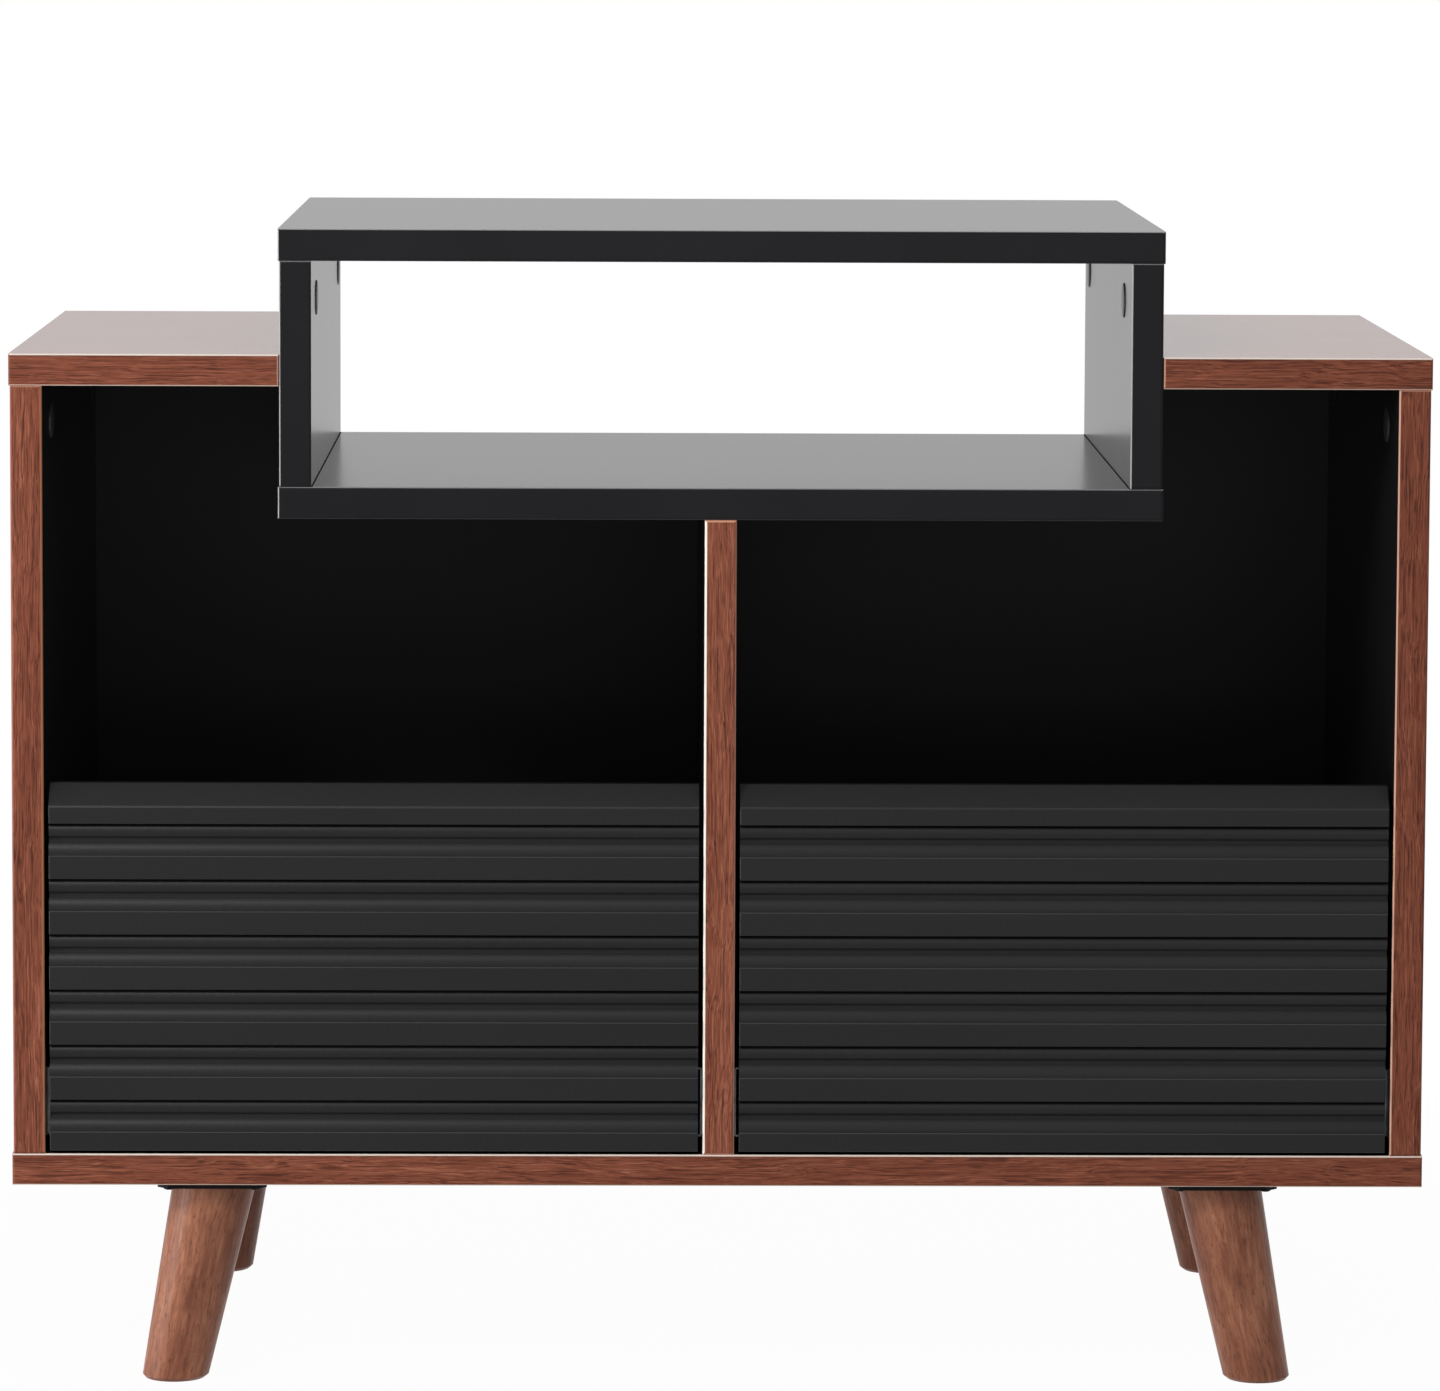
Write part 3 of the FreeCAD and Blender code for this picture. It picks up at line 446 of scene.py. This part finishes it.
def lathe(mesh, profile, place, turns, cross=None):
    """Turn a profile of (radius, height) pairs round its own Z into a bmesh, under a placing matrix.

    turns is the number of sides. cross is (arm, half width, depth): a driver's cross that is pressed
    into the rings near the middle.
    """
    def pressed(radius, height, angle):
        if cross:
            arm, half_width, depth = cross
            along = abs(math.cos(2 * angle)) ** 6
            if radius < half_width or (radius < arm and along > 0.45):
                height -= depth
        return place @ Vector((radius * math.cos(angle), radius * math.sin(angle), height))

    rings = []
    for radius, height in profile:
        if radius == 0:
            rings.append([mesh.verts.new(pressed(0, height, 0))])
        else:
            rings.append([mesh.verts.new(pressed(radius, height, 2 * math.pi * i / turns))
                          for i in range(turns)])
    for inner, outer in zip(rings, rings[1:]):
        for i in range(turns):
            j = (i + 1) % turns
            loop = [inner[i % len(inner)], outer[i % len(outer)], outer[j % len(outer)],
                    inner[j % len(inner)]]
            mesh.faces.new(list(dict.fromkeys(loop)))


def finished(name, mesh, material, body, angle=40):
    """Turn a bmesh into a smooth-shaded piece that rides on a body."""
    bmesh.ops.recalc_face_normals(mesh, faces=mesh.faces)
    data = bpy.data.meshes.new(name)
    mesh.to_mesh(data)
    mesh.free()
    data.polygons.foreach_set("use_smooth", [True] * len(data.polygons))
    data.set_sharp_from_angle(angle=math.radians(angle))
    data.materials.append(material)
    piece = bpy.data.objects.new(name, data)
    bpy.context.scene.collection.objects.link(piece)
    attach(piece, body)
    return piece


def facing(direction, point):
    """The matrix that stands a piece's Z along a direction, at a point in millimetres."""
    turn = Vector((0, 0, 1)).rotation_difference(Vector(direction)).to_matrix().to_4x4()
    return Matrix.Translation(Vector(point) * MM) @ turn


def scaled(profile):
    """A profile in millimetres as one in metres."""
    return [(radius * MM, height * MM) for radius, height in profile]


PAN_HEAD = scaled([(0, 1.75), (0.5, 1.74), (1.0, 1.7), (1.5, 1.62), (2.0, 1.48), (2.5, 1.27),
                   (3.0, 0.95), (3.3, 0.55), (3.4, 0.0)])
FLAT_HEAD = scaled([(0, 0.28), (0.6, 0.28), (1.2, 0.28), (1.8, 0.28), (2.4, 0.27), (2.9, 0.22),
                    (3.3, 0.0)])
CONFIRMAT = scaled([(0, 0.0), (1.9, 0.02), (2.0, 0.42), (4.0, 0.45), (4.5, 0.38), (4.8, 0.2),
                    (4.85, 0.0)])
NAIL_HEAD = scaled([(0, 0.62), (0.9, 0.6), (1.8, 0.5), (2.3, 0.3), (2.4, 0.0)])
DOMED_CAP = scaled([(0, 1.2), (2.5, 1.19), (5.0, 1.14), (7.0, 1.05), (8.4, 0.92), (9.2, 0.76),
                    (9.7, 0.54), (9.93, 0.3), (10.0, 0.0)])


def heads(name, profile, places, material, body, turns=24, cross=None):
    """One piece of equal heads, each at a (direction, point) place."""
    mesh = bmesh.new()
    for direction, point in places:
        lathe(mesh, profile, facing(direction, point), turns, cross)
    return finished(name, mesh, material, body)


def corners(name):
    """The lowest and the highest corner of a CAD node's box, in millimetres."""
    low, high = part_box(name)
    return low / MM, high / MM


def middle(name):
    """The middle of a CAD node's box, in millimetres."""
    low, high = corners(name)
    return (low + high) / 2


DOWN = (0, 0, -1)
BACKWARDS = (0, 1, 0)

SCREWED = (("bottom_panel", ("left_side_panel", "centre_divider", "right_side_panel")),
           ("riser_floor", ("riser_left_side", "riser_right_side")))
SCREW_Y = 150.0
screw_places = [(DOWN, (middle(upright).x, y, corners(board)[0].z))
                for board, uprights in SCREWED for upright in uprights for y in (-SCREW_Y, SCREW_Y)]
heads("carcass_screw_heads", CONFIRMAT, screw_places, zinc, "cabinet", turns=36)

CAP_RADIUS = DOMED_CAP[-1][0] / MM
cams_low, cams_high = corners("cam_caps")
CAM_ROWS = (cams_low.y + CAP_RADIUS, cams_high.y - CAP_RADIUS)
CAM_SETBACK = corners("riser_left_side")[1].z - (cams_high.z - CAP_RADIUS)
cap_places = []
for name, direction in (("left_side_panel", 1), ("right_side_panel", -1), ("centre_divider", 1),
                        ("riser_left_side", 1), ("riser_right_side", -1)):
    low, high = corners(name)
    face_x = high.x if direction == 1 else low.x
    cap_places += [((direction, 0, 0), (face_x, y, high.z - CAM_SETBACK)) for y in CAM_ROWS]
caps = heads("domed_cam_caps", DOMED_CAP, cap_places, cap_plastic, "cabinet", turns=40)
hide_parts("cam_caps")

PLATE_SIDE = 62.0
PLATE_INSET = 6.5
PLATE_CROSS = (2.2 * MM, 0.55 * MM, 0.7 * MM)
plates_low, plates_high = corners("leg_plates")


def plate_rows(low, high):
    """Where the screws of the two outermost plates lie between two ends."""
    near, far = PLATE_INSET, PLATE_SIDE - PLATE_INSET
    return low + near, low + far, high - far, high - near


plate_places = [(DOWN, (x, y, plates_low.z)) for x in plate_rows(plates_low.x, plates_high.x)
                for y in plate_rows(plates_low.y, plates_high.y)]
heads("leg_plate_screws", PAN_HEAD, plate_places, black_steel, "cabinet",
      cross=PLATE_CROSS)

NAIL_INSET = 4.1
NOTCH_DEPTH = 74.5
back_low, back_high = corners("back_panel")
side_x = back_high.x - NAIL_INSET
shoulder_z = back_high.z - NAIL_INSET
nails = [(x, back_low.z + NAIL_INSET) for x in (-340, -200, -60, 60, 200, 340)]
nails += [(x, shoulder_z - NOTCH_DEPTH) for x in (-180, -60, 60, 180)]
nails += [(side * side_x, z) for side in (-1, 1) for z in (225, 335, 445, 545)]
nails += [(side * x, shoulder_z) for side in (-1, 1) for x in (275, 345)]
nail_places = [(BACKWARDS, (x, back_high.y, z)) for x, z in nails]
heads("back_panel_nails", NAIL_HEAD, nail_places, zinc, "cabinet", turns=16)


# ---- runner balls and fixings -----------------------------------------------------------------------

BALL_RADIUS = 1.48
BALL_ARC = [math.pi * i / 10 for i in range(1, 10)]
BALL = scaled([(0, -BALL_RADIUS)]
              + [(BALL_RADIUS * math.sin(turn), -BALL_RADIUS * math.cos(turn)) for turn in BALL_ARC]
              + [(0, BALL_RADIUS)])
BALL_SIDES = 16
BALLS_IN_ROW = 9
CAGE_END = 8.0
# each pair of rows: its cages, its distance from the bay's wall, its distance from the runner's middle
BALL_ROWS = (("outer", 7.3, 17.2), ("inner", 7.0, 12.8))
RUNNER_STEEL = 1.2
WALL_SCREW_YS = (-165, -133, 60, 150)
WALL_SCREW_CROSS = (1.9 * MM, 0.5 * MM, 0.2 * MM)
BAYS = (("left", "left_side_panel", "centre_divider"), ("right", "centre_divider", "right_side_panel"))
runner_z = middle("left_bay_left_cabinet_member").z
cage_low, cage_high = corners("left_bay_outer_ball_cages")
first_ball_y = cage_low.y + CAGE_END
ball_pitch = (cage_high.y - cage_low.y - 2 * CAGE_END) / (BALLS_IN_ROW - 1)

for bay, left_wall, right_wall in BAYS:
    walls = ((-1, "left", corners(left_wall)[1].x), (1, "right", corners(right_wall)[0].x))
    for kind, from_wall, rise in BALL_ROWS:
        mesh = bmesh.new()
        for side, _, wall_x in walls:
            for z in (runner_z - rise, runner_z + rise):
                for i in range(BALLS_IN_ROW):
                    point = (wall_x - side * from_wall, first_ball_y + i * ball_pitch, z)
                    lathe(mesh, BALL, facing((0, 0, 1), point), BALL_SIDES)
        cages = "%s_bay_%s_ball_cages_body" % (bay, kind)
        finished("%s_%s_balls" % (bay, kind), mesh, ball_steel, cages, 180)
    for side, hand, wall_x in walls:
        wall_places = [((-side, 0, 0), (wall_x - side * RUNNER_STEEL, y, runner_z))
                       for y in WALL_SCREW_YS]
        heads("%s_bay_%s_wall_screws" % (bay, hand), FLAT_HEAD, wall_places, zinc, "cabinet",
              cross=WALL_SCREW_CROSS)


# ---- studio -----------------------------------------------------------------------------------------

WHITE = (1.0, 1.0, 1.0, 1.0)


def seen_white(tree):
    """A factor: 1 for rays that see the background, straight on or in a gloss, else 0."""
    path = tree.nodes.new("ShaderNodeLightPath")
    seen = path.outputs["Is Camera Ray"]
    for name in ("Is Glossy Ray", "Is Transmission Ray"):
        both = tree.nodes.new("ShaderNodeMath")
        both.operation = "MAXIMUM"
        tree.links.new(seen, both.inputs[0])
        tree.links.new(path.outputs[name], both.inputs[1])
        seen = both.outputs[0]
    return seen


def blended(tree, factor, first, second, output):
    """Link a mix of two shaders to an output."""
    mix = tree.nodes.new("ShaderNodeMixShader")
    tree.links.new(factor, mix.inputs[0])
    tree.links.new(first, mix.inputs[1])
    tree.links.new(second, mix.inputs[2])
    tree.links.new(mix.outputs[0], output)


def world(ambient):
    """A white background that lights the object with only its ambient part."""
    sky = bpy.data.worlds.new("studio")
    sky.use_nodes = True
    tree = sky.node_tree
    dim = tree.nodes["Background"]
    dim.inputs["Color"].default_value = (0.97, 0.98, 1.0, 1.0)
    dim.inputs["Strength"].default_value = ambient
    bright = tree.nodes.new("ShaderNodeBackground")
    bright.inputs["Color"].default_value = WHITE
    bright.inputs["Strength"].default_value = 1.0
    blended(tree, seen_white(tree), dim.outputs[0], bright.outputs[0],
            tree.nodes["World Output"].inputs["Surface"])
    bpy.context.scene.world = sky


def floor(drop):
    """A pale floor that keeps the cabinet's shadow and turns plain white away from it."""
    mesh = bmesh.new()
    bmesh.ops.create_grid(mesh, x_segments=8, y_segments=8, size=6.0)
    data = bpy.data.meshes.new("floor")
    mesh.to_mesh(data)
    mesh.free()
    piece = bpy.data.objects.new("floor", data)
    piece.location.z = -drop
    bpy.context.scene.collection.objects.link(piece)
    material = bpy.data.materials.new("studio_floor")
    material.use_nodes = True
    tree = material.node_tree
    tree.nodes.clear()
    diffuse = tree.nodes.new("ShaderNodeBsdfDiffuse")
    diffuse.inputs["Color"].default_value = (0.60, 0.60, 0.60, 1.0)
    glow = tree.nodes.new("ShaderNodeEmission")
    glow.inputs["Color"].default_value = WHITE
    glow.inputs["Strength"].default_value = 1.0
    output = tree.nodes.new("ShaderNodeOutputMaterial")
    coords = tree.nodes.new("ShaderNodeTexCoord")
    length = tree.nodes.new("ShaderNodeVectorMath")
    length.operation = "LENGTH"
    tree.links.new(coords.outputs["Object"], length.inputs[0])
    fade = tree.nodes.new("ShaderNodeMapRange")
    fade.interpolation_type = "SMOOTHSTEP"
    for socket, value in (("From Min", 0.4), ("From Max", 1.2), ("To Min", 0.975), ("To Max", 1.0)):
        fade.inputs[socket].default_value = value
    tree.links.new(length.outputs["Value"], fade.inputs["Value"])
    part = tree.nodes.new("ShaderNodeMath")
    part.operation = "MULTIPLY"
    tree.links.new(seen_white(tree), part.inputs[0])
    tree.links.new(fade.outputs[0], part.inputs[1])
    blended(tree, part.outputs[0], diffuse.outputs[0], glow.outputs[0], output.inputs["Surface"])
    data.materials.append(material)


def lamp(name, place, aim, width, height, power, colour=(1.0, 1.0, 1.0)):
    data = bpy.data.lights.new(name, "AREA")
    data.shape = "RECTANGLE"
    data.size = width
    data.size_y = height
    data.energy = power
    data.color = colour
    piece = bpy.data.objects.new(name, data)
    piece.location = place
    piece.rotation_euler = (Vector(aim) - Vector(place)).to_track_quat("-Z", "Y").to_euler()
    piece.visible_camera = False
    bpy.context.scene.collection.objects.link(piece)


def camera():
    """The camera that the photograph's straight edges give. Its lens and shift are in image pixels."""
    image_width, image_height = 1440, 1391
    focal_length, axis_row = 6969.1, 550
    pitch, roll, yaw = (math.radians(angle) for angle in (5.414, 0.245, -0.764))
    right = Vector((math.cos(yaw), math.sin(yaw), 0))
    level = Vector((-math.sin(yaw), math.cos(yaw), 0))
    above = Vector((0, 0, 1))
    forward = math.cos(pitch) * level - math.sin(pitch) * above
    up = math.sin(pitch) * level + math.cos(pitch) * above
    across = math.cos(roll) * right + math.sin(roll) * up
    upward = -math.sin(roll) * right + math.cos(roll) * up
    data = bpy.data.cameras.new("camera")
    data.sensor_width = 36.0
    data.sensor_fit = "HORIZONTAL"
    data.lens = focal_length * data.sensor_width / image_width
    data.shift_y = (axis_row - image_height / 2) / image_width
    data.clip_end = 100.0
    piece = bpy.data.objects.new("camera", data)
    turn = Matrix((across, upward, -forward)).transposed().to_4x4()
    piece.matrix_world = Matrix.Translation((-0.0525, -4.1025, 0.8501)) @ turn
    bpy.context.scene.collection.objects.link(piece)
    bpy.context.scene.camera = piece


world(0.30)
floor(0.4 * MM)
centre = (0.0, 0.0, 0.35)
lamp("key", (-1.2, -2.1, 2.1), centre, 0.7, 0.7, 41.0, (1.0, 0.99, 0.97))
lamp("side_left", (-1.5, -0.42, 0.20), (-0.3, -0.1, 0.1), 0.5, 0.35, 10.0)
lamp("front", (0.3, -3.6, 0.75), centre, 1.6, 1.0, 4.0)
lamp("top", (0.0, -0.5, 2.6), centre, 2.6, 1.2, 3.0)
lamp("fill_right", (2.6, -2.4, 1.7), centre, 1.6, 1.6, 6.0, (0.97, 0.98, 1.0))
camera()
bpy.context.scene.view_settings.view_transform = "Standard"
